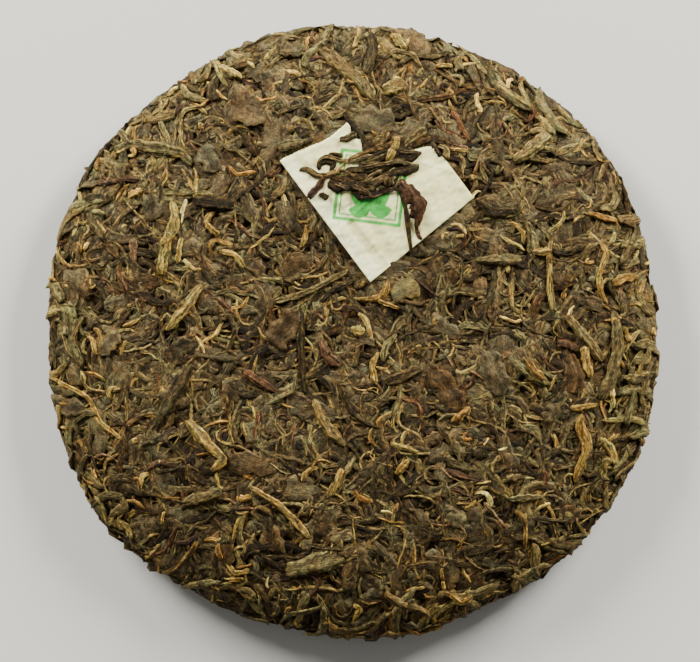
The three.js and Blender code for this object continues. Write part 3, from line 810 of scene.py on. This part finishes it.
def dried_leaf(
    name,
    stops,
    rough,
    along=0.3,
    groove_shade=0.7,
    down=0.0,
    relief=0.0006,
    mottling=0.25,
    wrinkle_shade_range=(0.3, 1.55),
):
    """Dried leaf has a dull waxy skin over deep wrinkles. Its crests and edges are painted
    lighter, as painted highlight, and its grooves, fold lines and the parts that lie low in the
    heap are painted nearly black, as painted shade; the fine wrinkles are painted lighter on top
    and darker in their furrows. Some leaves have turned redder. The wrinkles run along the leaf,
    about 0.4 mm apart, and spots of 1 to 5 mm make it uneven."""
    material, tree = new_material(name)
    place = add(tree, "TexCoord").outputs["Object"]
    run = add(tree, "UVMap", uv_map="grain")
    tone, warmth, ridge, depth = (
        add(tree, "Attribute", attribute_name=key).outputs["Fac"]
        for key in ("tone", "warmth", "ridge", "depth")
    )
    mottle = add(tree, "TexNoise", {"Vector": place, "Scale": 800, "Detail": 4})
    shift = add(tree, "MapRange", (mottle, 0.32, 0.68, -mottling, mottling))
    # Painted highlight and shade: crests and edges take paler browns from the ramp, grooves
    # darker ones.
    painted_crest_tint = add(tree, "MapRange", (ridge, -1, 1, -0.17, 0.2))
    spotted = add(tree, "Math", (tone, shift), operation="ADD")
    shade = add(tree, "Math", (spotted, painted_crest_tint), operation="ADD")
    tint = add(tree, "ValToRGB", {"Fac": shade}, stops)
    blush = add(tree, "TexNoise", {"Vector": place, "Scale": 210, "Detail": 3})
    redder = add(tree, "MapRange", (blush, 0.35, 0.65, -0.6, 0.6))
    warmer = add(tree, "Math", (warmth, redder), operation="ADD")
    to_red = (warmer, (0.15, -0.05, -0.2), (1, 1, 1))
    cast = add(tree, "VectorMath", to_red, operation="MULTIPLY_ADD")
    tinted = add(tree, "VectorMath", (tint, cast), operation="MULTIPLY")
    # The same wrinkle noise is bump and brightness: painted highlight on the wrinkles' tops and
    # painted shade in their furrows, over the leaf's own streaky grain.
    fine = add(tree, "Mapping", {"Vector": run, "Scale": (along, 2.6, 1)})
    fine = {"Vector": fine, "Scale": 1, "Detail": 5, "Distortion": 1.3}
    grain = add(tree, "TexNoise", fine)
    wrinkle_streak_shade = add(tree, "MapRange", (grain, 0.4, 0.6, *wrinkle_shade_range))
    coarse = add(tree, "Mapping", {"Vector": run, "Scale": (0.3, 0.5, 1)})
    coarse = {"Vector": coarse, "Scale": 1, "Detail": 2, "Distortion": 1.2}
    puckers = add(tree, "TexNoise", coarse)
    from_fold = add(tree, "Math", (puckers, 0.5), operation="SUBTRACT")
    from_fold = add(tree, "Math", (from_fold,), operation="ABSOLUTE")
    # Painted shade darkens the fold lines of the puckers, which the bump also dents.
    crease_and_shade = add(tree, "MapRange", (from_fold, 0.0, 0.03, 0.55, 1.0))
    # Painted highlight on the crests and painted shade in the grooves, as brightness.
    painted_crest_light = add(tree, "MapRange", (ridge, -0.9, 0.7, groove_shade, 1.1))
    # Painted shade: points that lie lower in the heap are darker.
    painted_depth_shade = add(tree, "MapRange", (depth, -1.5, -0.1, 0.7, 1.0))
    light = wrinkle_streak_shade
    for share in (crease_and_shade, painted_crest_light, painted_depth_shade):
        light = add(tree, "Math", (light, share), operation="MULTIPLY")
    shaded = add(tree, "VectorMath", {0: tinted, "Scale": light}, operation="SCALE")
    height = add(tree, "Math", (crease_and_shade, 0.5, grain), operation="MULTIPLY_ADD")
    wrinkles = add(tree, "Bump", {"Height": height, "Strength": 1.0, "Distance": relief})
    skin = {"Base Color": shaded, "Normal": wrinkles, "Roughness": rough}
    skin |= {"Specular IOR Level": 0.12, "Sheen Weight": down}
    add(tree, "OutputMaterial", {"Surface": add(tree, "BsdfPrincipled", skin)})
    return material


face = new_heap(below=False, seed=31)
underside = new_heap(below=True, seed=41)

# A flattened leaf has a smoother skin, which wrinkles both ways, and its torn edges are painted
# pale, as painted highlight.
FLAT_TEA = [(0, "2A1D0C"), (0.25, "44371E"), (0.5, "605135"), (0.75, "776942"), (1, "907B40")]
FLAT_SKIN = {"along": 0.6, "mottling": 0.15, "wrinkle_shade_range": (0.5, 1.38)}
FLAT_LEAF = {
    "bend": 0.4,
    "kink": 0.15,
    "blunt": (2, 4.5),
    "ragged": 0.18,
    "twist": 1.5,
    "flutes": (3, 5),
    "groove": 0.2,
    "crumple": 0.14,
    "fold": 0.6,
    "lean": 0.12,
    "square": 0.5,
    "buckle": 0.22,
    "edge_highlight": 0.7,
}
flat_skin = dried_leaf("flattened_tea_leaf", FLAT_TEA, 0.6, relief=0.0004, **FLAT_SKIN)
broad = batch(680, face, (9, 26), (3.8, 10.0), flat=0.11, flush=0.12, sides=12, **FLAT_LEAF)
first_dark = batch(
    420, face, (11, 30), (1.8, 4.4), flat=0.34, flush=0.05, sides=10, groove=0.3, bend=0.9
)
joined("broad_leaf_pieces", flat_skin, (broad, 0.34, 0.11), (first_dark, 0.3, 0.13))

# What comes next lies on the sheet where the ticket is open.
sheet = paper_rise(face["x"], face["y"]) + PAPER_HALF
face["top"] = np.where(face["paper"], sheet, face["top"])
face["swell"] = np.where(face["paper"], OVER_PAPER, face["swell"])


# Leaf fragments are the pieces that broke off in the rolling: short, flat and torn square.
# They are the same tea as the broad leaves, a little duller, with less painted highlight along
# their broken edges.
TORN_LEAF = {"blunt": (4, 12), "ragged": 0.2, "crumple": 0.14, "groove": 0.25, "fold": 0.4}
fragment_skin = dried_leaf("torn_tea_leaf", FLAT_TEA, 0.62)
fragments = batch(
    620, face, (3.5, 10), (1.8, 4.8), 0.3, 0.2, sides=8, stations=7, margin=0.4, **TORN_LEAF
)
joined("leaf_fragments", fragment_skin, (fragments, 0.46, 0.15))


# Crumbs of broken leaf, 1 to 4 mm long, fill the gaps between the leaves. Broken through, they
# show more of the leaf's pale inside, so their browns run up to yellow.
CRUMB_TEA = [(0, "2A1C0C"), (0.25, "493A20"), (0.5, "6B5733"), (0.75, "8E7844"), (1, "BE9F4B")]
crumb_skin = dried_leaf("broken_tea_leaf", CRUMB_TEA, 0.65)
crumbs = batch(
    1100, face, (1.4, 4.0), (0.8, 1.9), 0.5, 0.25, sides=5, stations=5, margin=0.3, ragged=0.2
)
joined("broken_leaf_crumbs", crumb_skin, (crumbs, 0.4, 0.18))


# Rolled leaves are the body of the cake: withered leaves twisted in the pan until each is a
# ridged cord, then pressed half flat. The younger ones have stayed olive, and the others are
# almost black and a little glossier, with painted highlight on their crests.
DARK_TEA = [(0, "22180B"), (0.3, "372910"), (0.55, "504022"), (0.8, "695834"), (1, "867044")]
OLIVE_TEA = [(0, "33270F"), (0.3, "554728"), (0.55, "716239"), (0.8, "8C7A46"), (1, "AE974F")]
dark_skin = dried_leaf("rolled_leaf_dark", DARK_TEA, 0.55, relief=0.0007)
olive_skin = dried_leaf("rolled_leaf_olive", OLIVE_TEA, 0.58)
olive = batch(
    780, face, (9, 30), (1.2, 3.2), 0.3, 0.2, sides=8, margin=0.5, bend=1.2, kink=0.6, groove=0.3
)
joined("olive_rolled_leaves", olive_skin, (olive, 0.38, 0.15))
dark = batch(
    640, face, (12, 36), (1.4, 3.9), 0.28, 0.2, sides=10, margin=0.6, bend=1.1, groove=0.36
)
joined("dark_rolled_leaves", dark_skin, (dark, 0.36, 0.16))


# Upper leaf pieces were the last into the bag, so they lie flat against the cloth's side, with
# strands of the finer leaf across them.
upper = batch(120, face, (8, 20), (3.6, 8.0), 0.1, 0.32, sides=12, margin=1.2, **FLAT_LEAF)
joined("upper_leaf_pieces", flat_skin, (upper, 0.36, 0.11))


# Fine strands: slivers and stems of leaf, under 2 mm wide, that kink and curl between the
# larger ones. They are the tea's palest part but for the tips.
stem_skin = dried_leaf("thin_rolled_leaf", CRUMB_TEA, 0.52, groove_shade=0.55)
CURLED = {"stations": 11, "bend": 1.8, "kink": 1.1}
fine = batch(760, face, (8, 30), (0.7, 1.7), 0.5, 0.3, sides=6, margin=0.3, **CURLED)
joined("fine_strands", stem_skin, (fine, 0.46, 0.18))


# Bare stalks: the reddish stems that the leaves grew on, smooth and springy, with a duller
# sheen than the leaf's.
RED_STALK = [(0, "28190E"), (0.3, "48311D"), (0.55, "66472C"), (0.8, "86633E"), (1, "A9875D")]
stalk_skin = dried_leaf("bare_red_stalk", RED_STALK, 0.5, groove_shade=0.6)
stalks = batch(130, face, (7, 24), (1.0, 2.4), 0.5, 0.35, sides=8, margin=0.6, bend=0.8)
joined("red_stalks", stalk_skin, (stalks, 0.4, 0.16))


# Golden tips are the unopened buds of the picking, slim and pointed, still with their pale
# down, which the tea has turned yellow and which softens their outline.
TIP_GOLD = [(0, "6E4D1C"), (0.3, "95712F"), (0.6, "BE9A48"), (0.85, "DDBD62"), (1, "F6DC86")]
SLIM = {"blunt": (1.8, 3.0), "bend": 1.3}
tip_skin = dried_leaf("downy_bud", TIP_GOLD, 0.6, groove_shade=0.6, down=0.05)
tips = batch(150, face, (5, 15), (0.9, 2.2), 0.5, 0.4, sides=8, margin=0.6, **SLIM)
joined("golden_tips", tip_skin, (tips, 0.42, 0.22))


# Rim leaves lie round the edge of the face with an end free, which the cloth of the bag let
# stand out a little.
FREE_END = {"zone": (91.0, 103.0), "dip": -0.9, "blunt": (1.8, 4.0)}
rim = batch(150, face, (9, 24), (1.6, 4.0), 0.4, 0.9, sides=8, **FREE_END)
joined("rim_leaves", olive_skin, (rim, 0.5, 0.22))


# The leaves that show most lie on top of all, each in its own place. They are listed by kind,
# each with its shade, its width and a few places in plan, in mm from the cake's axis. The last
# ones of the rolled kinds lie on and round the ticket, and cover its torn edge.
CHOSEN = {}
CHOSEN["flat"] = [
    (0.45, 12.0, (-41, 76), (-36, 74), (-27, 69)),
    (0.45, 5.5, (-24, 91.5), (-16, 92)),
    (0.5, 7.0, (12.8, 98.7), (19, 95), (25, 89.5)),
    (0.45, 9.0, (-0.4, 69), (6, 68.5), (13.8, 67)),
    (0.45, 5.5, (15.8, 63), (20, 67), (25.6, 71.8)),
    (0.3, 7.0, (-65.8, 45), (-63.8, 36)),
    (0.5, 4.6, (-80.5, 8.5), (-73, 10.5)),
    (0.55, 8.0, (-83.4, -6.6), (-75.6, 0.7)),
    (0.2, 6.5, (-60, -8), (-50, -3.2)),
    (0.4, 6.2, (-98, -22.3), (-86.3, -25.2)),
    (0.4, 8.0, (43, -5.8), (48.2, -20.6)),
    (0.35, 4.2, (69.8, 12.4), (81.7, 8.1)),
    (0.5, 5.5, (38.7, 14.8), (43.5, 14.8)),
    (0.4, 9.0, (-23, 18), (-14, 24)),
    (0.3, 9.0, (-26, -4), (-17, 7)),
    (0.75, 7.0, (12, 12), (21.4, 16)),
    (0.4, 8.5, (-48.5, 60.5), (-43, 52)),
]
CHOSEN["brown"] = [
    (0.5, 8.0, (23.5, -10), (29, -17), (34.7, -25.3)),
    (0.55, 6.5, (69.5, -6.5), (71.5, -13), (71, -20)),
    (0.4, 5.0, (-71, 16.3), (-62, 16.3)),
]
CHOSEN["dark"] = [
    (0.4, 3.0, (-76, 65), (-84.6, 54.6), (-90, 44)),
    (0.35, 2.0, (-11.1, 9), (-6.7, 13.4), (1.1, 17.3)),
    (0.3, 2.2, (-16.5, 6.6), (-16.5, -3.2), (-16, -15.5), (-15, -20.8)),
    (0.3, 1.3, (-4, -17), (-0.8, -25.2), (4, -29.1), (9.5, -31)),
    (0.35, 2.2, (20.7, 74.8), (30.5, 76.2), (37.3, 79.1)),
    (0.25, 3.0, (-35, 64), (-30.7, 56.7)),
    (0.45, 2.4, (75.7, 27.8), (67.1, 25.5), (60, 30)),
    (0.5, 5.0, (-51.6, -9.1), (-58.5, -21.8), (-63.8, -32.6)),
    (0.25, 4.0, (-52, 43), (-37.5, 41)),
    (0.5, 3.5, (10.8, -16.2), (22.7, -11.6)),
    (0.35, 3.5, (40.3, 43), (46, 38.8), (54.8, 40.3)),
    (0.25, 1.8, (-10.5, 52), (-10.8, 54.1), (-8.7, 55.4), (-5.8, 54.6), (-7.3, 51.2)),
    (0.25, 1.8, (-10.7, 44.6), (-9.2, 44), (-7.8, 43.1)),
    (0.12, 3.6, (-8.2, 48.4), (-4.9, 46.5), (-1.1, 47.4), (3.1, 46.6)),
    (0.35, 3.2, (-7.3, 49.9), (-3, 48.9), (1.7, 50.1), (6.4, 48.9)),
    (0.1, 3.4, (-0.2, 46.1), (2, 44.2), (3.6, 44.9), (7.9, 46.1)),
    (0.3, 2.6, (-3, 51.8), (1.7, 52.2), (8.3, 52.9), (13.1, 54.6)),
    (0.22, 3.4, (3.1, 50.8), (9.3, 53.2), (15.9, 55.3), (22.5, 58.1)),
    (0.3, 2.6, (7.4, 49.9), (13.1, 51.2), (17.3, 52.2), (21.8, 53.6)),
    (0.4, 3.4, (0.8, 48), (6.4, 48), (11.2, 49.9), (15.9, 50.8)),
    (0.2, 3.6, (5.5, 55.1), (9.8, 57), (15.9, 58.4), (20.6, 58.8)),
    (0.3, 3.2, (3.6, 58.8), (8.3, 58.8), (13.1, 60.3), (18.3, 62.2)),
    (0.35, 2.4, (14.5, 58.6), (20.2, 61.4), (26.3, 63.1), (32.9, 60.3)),
    (0.2, 2.2, (8.5, 48.5), (12, 47.5), (16.5, 48.8)),
    (0.3, 1.5, (15.3, 48), (18, 35.2), (18.7, 28), (18.6, 25.6), (20.4, 24.3), (26.3, 26.2)),
    (0.25, 2.3, (-3, 71.6), (0.8, 66.4), (3.6, 63.1), (5.1, 58.8)),
    (0.3, 1.3, (-8.7, 56.2), (-6.3, 57.6), (-3, 56.9)),
    (0.25, 3.0, (3.6, 57.9), (5.5, 60.7), (8.3, 62.6), (13.1, 63.1)),
]
CHOSEN["olive"] = [
    (0.55, 3.9, (-78.3, 59.6), (-70.7, 61.1), (-63.3, 59.6), (-56, 58.6), (-51.1, 53.7)),
    (0.5, 4.8, (-13.1, 94.3), (-3.8, 86.5), (4, 80.1), (6.5, 74.3)),
    (0.45, 1.9, (9.9, 88.4), (13.3, 91.4), (19.7, 89.9), (22.6, 85.5)),
    (0.45, 2.2, (-26.3, 9.5), (-17, 11.9), (-8.7, 15.8), (-0.8, 20.2)),
    (0.4, 3.2, (-24.3, 59.6), (-15.5, 61.5)),
    (0.5, 2.0, (64.4, 34), (63.4, 24), (64, 12), (65.4, 6)),
    (0.5, 4.0, (-55, -55), (-42, -51)),
    (0.5, 6.0, (-22, -78), (-12.7, -75), (-2.5, -71.4)),
    (0.5, 1.6, (-18, -12.5), (-18.9, -18.9), (-28.6, -23.5)),
    (0.45, 2.5, (50.5, -89.5), (40.3, -96.8), (31.5, -101.2)),
    (0.6, 2.0, (50.5, -53.8), (62, -53)),
    (0.6, 2.0, (14.5, -0.2), (10.4, -4.7), (9.9, -9.8)),
    (0.5, 3.3, (68.7, 6.3), (74.6, -1), (81.5, -9.8)),
    (0.45, 4.2, (84.7, 8), (86, -3.4), (83.8, -15), (79.7, -22.6)),
    (0.55, 3.2, (51.8, -8.8), (57.8, -14.3), (64, -17)),
    (0.45, 3.0, (39.5, 23.2), (55, 23.6)),
    (0.3, 2.1, (-17.6, 52.4), (-14.8, 52.9), (-12.9, 51.3), (-9.6, 50.2), (-3.7, 51.9)),
    (0.3, 2.4, (1.7, 54.1), (7.4, 55.5), (13.1, 57.9), (18.3, 58.8)),
    (0.45, 3.4, (15.7, 59.3), (19.7, 62.6), (23.9, 65.9)),
    (0.2, 2.2, (-4.2, 62.1), (-1.6, 62.6), (1.5, 64.3)),
    (0.4, 3.0, (6.4, 60.3), (9.8, 62.6), (11.6, 65)),
]
CHOSEN["tan"] = [
    (0.85, 3.5, (-58.5, 43), (-57, 36), (-60.7, 27), (-62, 17.7)),
    (0.7, 1.6, (-57, 66.9), (-54.5, 72.3), (-49.7, 73.3), (-46.7, 70.3)),
    (0.7, 1.4, (-55.5, 69.4), (-55.7, 61.5), (-53.6, 59)),
    (0.75, 4.5, (10.2, 77.7), (16.3, 80.6)),
    (0.6, 1.5, (-88, -13), (-86, -18.5), (-80, -19.5), (-74, -18)),
    (0.8, 3.0, (-48.4, 15.5), (-54.3, 6.8), (-60.2, 0.3)),
    (0.8, 3.5, (-53.5, -27.6), (-47, -35.7), (-41, -40.8), (-46, -45)),
    (0.75, 2.4, (-33.8, -49.5), (-23.6, -55.3), (-13.4, -67)),
    (0.65, 3.5, (-12.7, -21), (-9, -29), (-1.8, -37)),
    (0.85, 2.0, (12, -35.7), (21.4, -38.6)),
    (0.85, 2.0, (8.5, -6.1), (6.3, -10.7), (7.6, -16.6)),
    (0.85, 3.0, (74.6, -4.3), (75.6, -10.7), (77, -14.8)),
    (0.85, 1.4, (63.7, 22.7), (63.2, 14), (64.6, 6.7)),
    (0.8, 2.5, (58, 26), (64, 26.4)),
    (0.7, 4.5, (52, 55.5), (57.7, 59), (64.3, 64.3)),
    (0.8, 2.2, (46, 81), (52, 76.6), (57.7, 73)),
    (0.75, 4.5, (10.4, 78), (16.2, 81)),
    (0.85, 3.0, (12.6, 97), (17.7, 92)),
    (0.55, 1.4, (-11.3, 54.1), (-10.7, 55.8), (-8.2, 56.7), (-4, 55.5), (0.8, 55.4)),
    (0.5, 1.4, (-1, 55.3), (0.8, 55.4), (6.4, 56.9)),
    (0.5, 1.3, (-1.8, 55.5), (3.6, 57.9), (10.7, 59.3)),
    (0.45, 1.2, (-1.1, 54.6), (4.6, 56.2), (7.9, 57)),
    (0.3, 1.6, (0.8, 52.2), (6.4, 53.6), (13.1, 54.6), (17.8, 55.5)),
    (0.4, 1.2, (-6.8, 50.8), (-3, 52.2), (0.8, 49.9)),
    (0.4, 1.3, (3.6, 48), (6.4, 50.8), (9.8, 52.2)),
    (0.35, 1.2, (5.5, 45.6), (8.3, 48), (10.7, 50.3)),
    (0.25, 1.6, (13.1, 58.8), (17.8, 57.9), (22.5, 57.9)),
    (0.35, 1.5, (11.2, 56.5), (15.4, 54.6), (21.6, 53.6)),
    (0.2, 1.8, (-0.2, 47), (3.6, 45.6), (6.4, 43.7)),
    (0.3, 1.4, (-5.9, 48), (-1.1, 46.1)),
    (0.35, 1.5, (15, 48.9), (13, 46)),
    (0.75, 1.1, (-4.9, 51), (-4.6, 52.7), (-2.3, 54.6), (-1.5, 55.6)),
    (0.5, 1.1, (10.7, 47.3), (10, 48.7), (11.3, 49.8), (12.4, 48.9), (12.1, 47)),
    (0.4, 1.2, (13.3, 47.3), (12.6, 48.9), (13.8, 50.1)),
    (0.6, 2.2, (27.5, 60.3), (30.1, 59.3), (30.8, 55.5)),
]
CHOSEN["red"] = [
    (0.65, 2.5, (-71, 30.6), (-70.6, 22.2)),
    (0.55, 2.2, (-76, 20.5), (-73, 12.7)),
    (0.35, 1.8, (-82.9, 47.9), (-75, 49.5), (-68.2, 49.8)),
    (0.4, 2.6, (66, -3), (69.5, -3.5), (73, -6)),
    (0.45, 3.0, (-35.4, -12.4), (-24.4, -19)),
    (0.6, 2.2, (-15.6, -99), (-5.4, -102)),
    (0.85, 1.3, (42.5, -54.6), (49.7, -63.3)),
    (0.5, 3.5, (-10.2, -2), (-7.5, -8.4), (-3.8, -11.1)),
    (0.22, 2.5, (-8.9, 50.1), (-10.5, 47.5), (-12.8, 44.8), (-14.5, 42.9)),
    (0.2, 1.9, (2, 43.2), (6.9, 44.2), (10.7, 45.8), (14.7, 46.1)),
    (0.3, 3.6, (15, 49.2), (16.6, 47), (18.3, 44.2), (19.7, 41.4)),
    (0.2, 5.0, (17.1, 47.5), (19.4, 44.2), (20.9, 40.4), (20.4, 36.2)),
    (0.25, 2.4, (21.7, 44.2), (22.7, 41.4), (21.6, 37.1), (21, 33.8)),
    (0.3, 1.5, (20.4, 37.6), (20.6, 33.8), (21.2, 31.2), (22.8, 29.5)),
]
CHOSEN["gold"] = [
    (0.7, 2.0, (-43.4, 86.5), (-35.7, 82.4)),
    (0.4, 1.2, (-40, 54), (-37.5, 51), (-31, 52)),
    (0.5, 2.4, (-72.7, 44), (-68, 46.3)),
    (0.5, 1.8, (-55, 31), (-56.4, 22)),
    (0.6, 2.0, (-43.3, 26.4), (-37.5, 25), (-34.6, 20.6)),
    (0.3, 2.2, (-47, 35), (-43, 31)),
    (0.4, 1.6, (-99.3, -13.8), (-92, -17.5), (-85.5, -21), (-82, -29), (-74, -35)),
    (0.4, 2.0, (-37.5, -53.8), (-32.4, -53)),
    (0.4, 2.0, (-3.3, -43.7), (-7, -53)),
    (0.3, 1.8, (-42, -73), (-38, -78), (-33, -77)),
    (0.4, 1.8, (-40, -80), (-35, -79.5)),
    (0.3, 3.2, (75, -26), (73, -29), (76, -36.4), (71.6, -49.5)),
    (0.3, 2.0, (70, -24.7), (79.5, -23.3)),
    (0.3, 2.0, (31.5, -84.4), (35.2, -87.3), (38.8, -85)),
    (0.3, 2.0, (17, -96), (23.5, -97.5), (29.3, -94.5)),
    (0.4, 2.0, (0.2, -88), (2.4, -89.5), (0.2, -94)),
    (0.2, 2.5, (32, -29), (38, -24)),
    (0.3, 2.2, (14, -45.8), (18.4, -40.8)),
    (0.3, 1.3, (56, -58), (56, -70)),
    (0.55, 3.6, (-0.4, 1.2), (3.8, 0.3)),
    (0.3, 2.2, (1.2, 10.8), (8.1, 10.8), (10.8, 13.6), (11.7, 17.7)),
    (0.25, 1.5, (8.1, 10.4), (15.4, 7.6)),
    (0.4, 2.0, (80, 30), (82.4, 25.5), (80, 20), (79.7, 15), (82.4, 9)),
    (0.2, 3.0, (84.3, 15.4), (87.5, 17.7), (93, 18.2)),
    (0.1, 2.5, (55, -7.5), (58.7, -12.5), (62, -15.3)),
    (0.3, 2.0, (88, 2.2), (89.8, -3.4)),
    (0.85, 2.0, (83.8, -17.6), (84.7, -24.8)),
    (0.3, 2.0, (76, 38.8), (86, 36)),
    (0.35, 2.5, (14.3, 63.5), (14.1, 60.7), (12.6, 57.4), (11.2, 54.8)),
]
CHOSEN_STATIONS = 19
CHOSEN_SIDES = 14
CHOSEN_DIP = 0.5
CHOSEN_STIFF = 0.8
BROWN_LEAF = [(0, "22160B"), (0.25, "382713"), (0.5, "523C20"), (0.75, "6B502D"), (1, "846740")]
brown_skin = dried_leaf("flattened_brown_leaf", BROWN_LEAF, 0.62, **FLAT_SKIN)
# Each kind has its skin, its thickness as a share of the width, and how high it stands.
CHOSEN_KINDS = {
    "flat": (flat_skin, 0.09, 0.7),
    "brown": (brown_skin, 0.09, 0.7),
    "dark": (dark_skin, 0.42, 0.8),
    "olive": (olive_skin, 0.4, 0.9),
    "tan": (stem_skin, 0.42, 1.4),
    "red": (stalk_skin, 0.35, 1.0),
    "gold": (tip_skin, 0.45, 1.6),
}
CHOSEN_ROLLED = LEAF_LOOK | {
    "blunt": (2.6, 6),
    "ragged": 0.12,
    "flutes": (3, 6),
    "groove": 0.4,
    "crumple": 0.18,
    "twist": 2.5,
    "fold": 0.3,
}
CHOSEN_FLAT = CHOSEN_ROLLED | {"square": 0.5, "buckle": 0.25, "edge_highlight": 0.7, "groove": 0.2}


def threaded(places):
    """An even path through a few places, with its corners eased."""
    x, y = np.array(places, float).T
    way = np.concatenate([[0], np.cumsum(np.hypot(np.diff(x), np.diff(y)))])
    even = np.linspace(0, way[-1], CHOSEN_STATIONS)
    line = [np.interp(even, way, v) for v in (x, y)]
    for _ in range(2):
        for v in line:
            v[1:-1] = 0.25 * v[:-2] + 0.5 * v[1:-1] + 0.25 * v[2:]
    return line


face["swell"] = np.maximum(face["swell"], 0.3)
for kind, leaves in CHOSEN.items():
    skin, flat, flush = CHOSEN_KINDS[kind]
    tone, width = (np.array([leaf[i] for leaf in leaves]) for i in (0, 1))
    paths = np.array([threaded(leaf[2:]) for leaf in leaves])
    px, py = unrolled(paths[:, 0], paths[:, 1], face)
    thick = width * flat
    heights = lay(px, py, width, thick, face, flush, CHOSEN_DIP, CHOSEN_STIFF)
    look = CHOSEN_FLAT if kind in ("flat", "brown") else CHOSEN_ROLLED
    made = bodies(px, py, heights, width, thick, face, CHOSEN_SIDES, look)
    shade = np.clip(tone[:, None] + 0.5 * made["drift"], 0, 1)
    joined("chosen_leaves_" + kind, skin, (made, shade))


# The underside is the same tea, pressed on a board: flat round the rim, and drawn in at the
# middle where the knot of the cloth bag was.
low_broad = batch(560, underside, (10, 24), (3.6, 8.0), 0.13, 0.0, sides=8, **FLAT_LEAF)
low_dark = batch(640, underside, (11, 28), (1.8, 4.6), 0.34, 0.15, sides=8, groove=0.3)
low_olive = batch(420, underside, (8, 22), (1.2, 2.6), 0.45, 0.25, sides=8, kink=0.45)
joined("underside_leaves", flat_skin, (low_broad, 0.35, 0.18), (low_dark, 0.35, 0.2))
joined("underside_olive_leaves", olive_skin, (low_olive, 0.35, 0.2))


# Small tips and ends of stem, dry and yellow, have worked loose in the rolling. They stick all
# round the slope of the rim, on top of the other leaves.
rim_tips = batch(100, face, (3, 9), (0.8, 2.0), 0.5, 0.8, sides=8, zone=(80.0, 104.0), **SLIM)
joined("rim_tips", tip_skin, (rim_tips, 0.4, 0.25))

low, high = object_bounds()
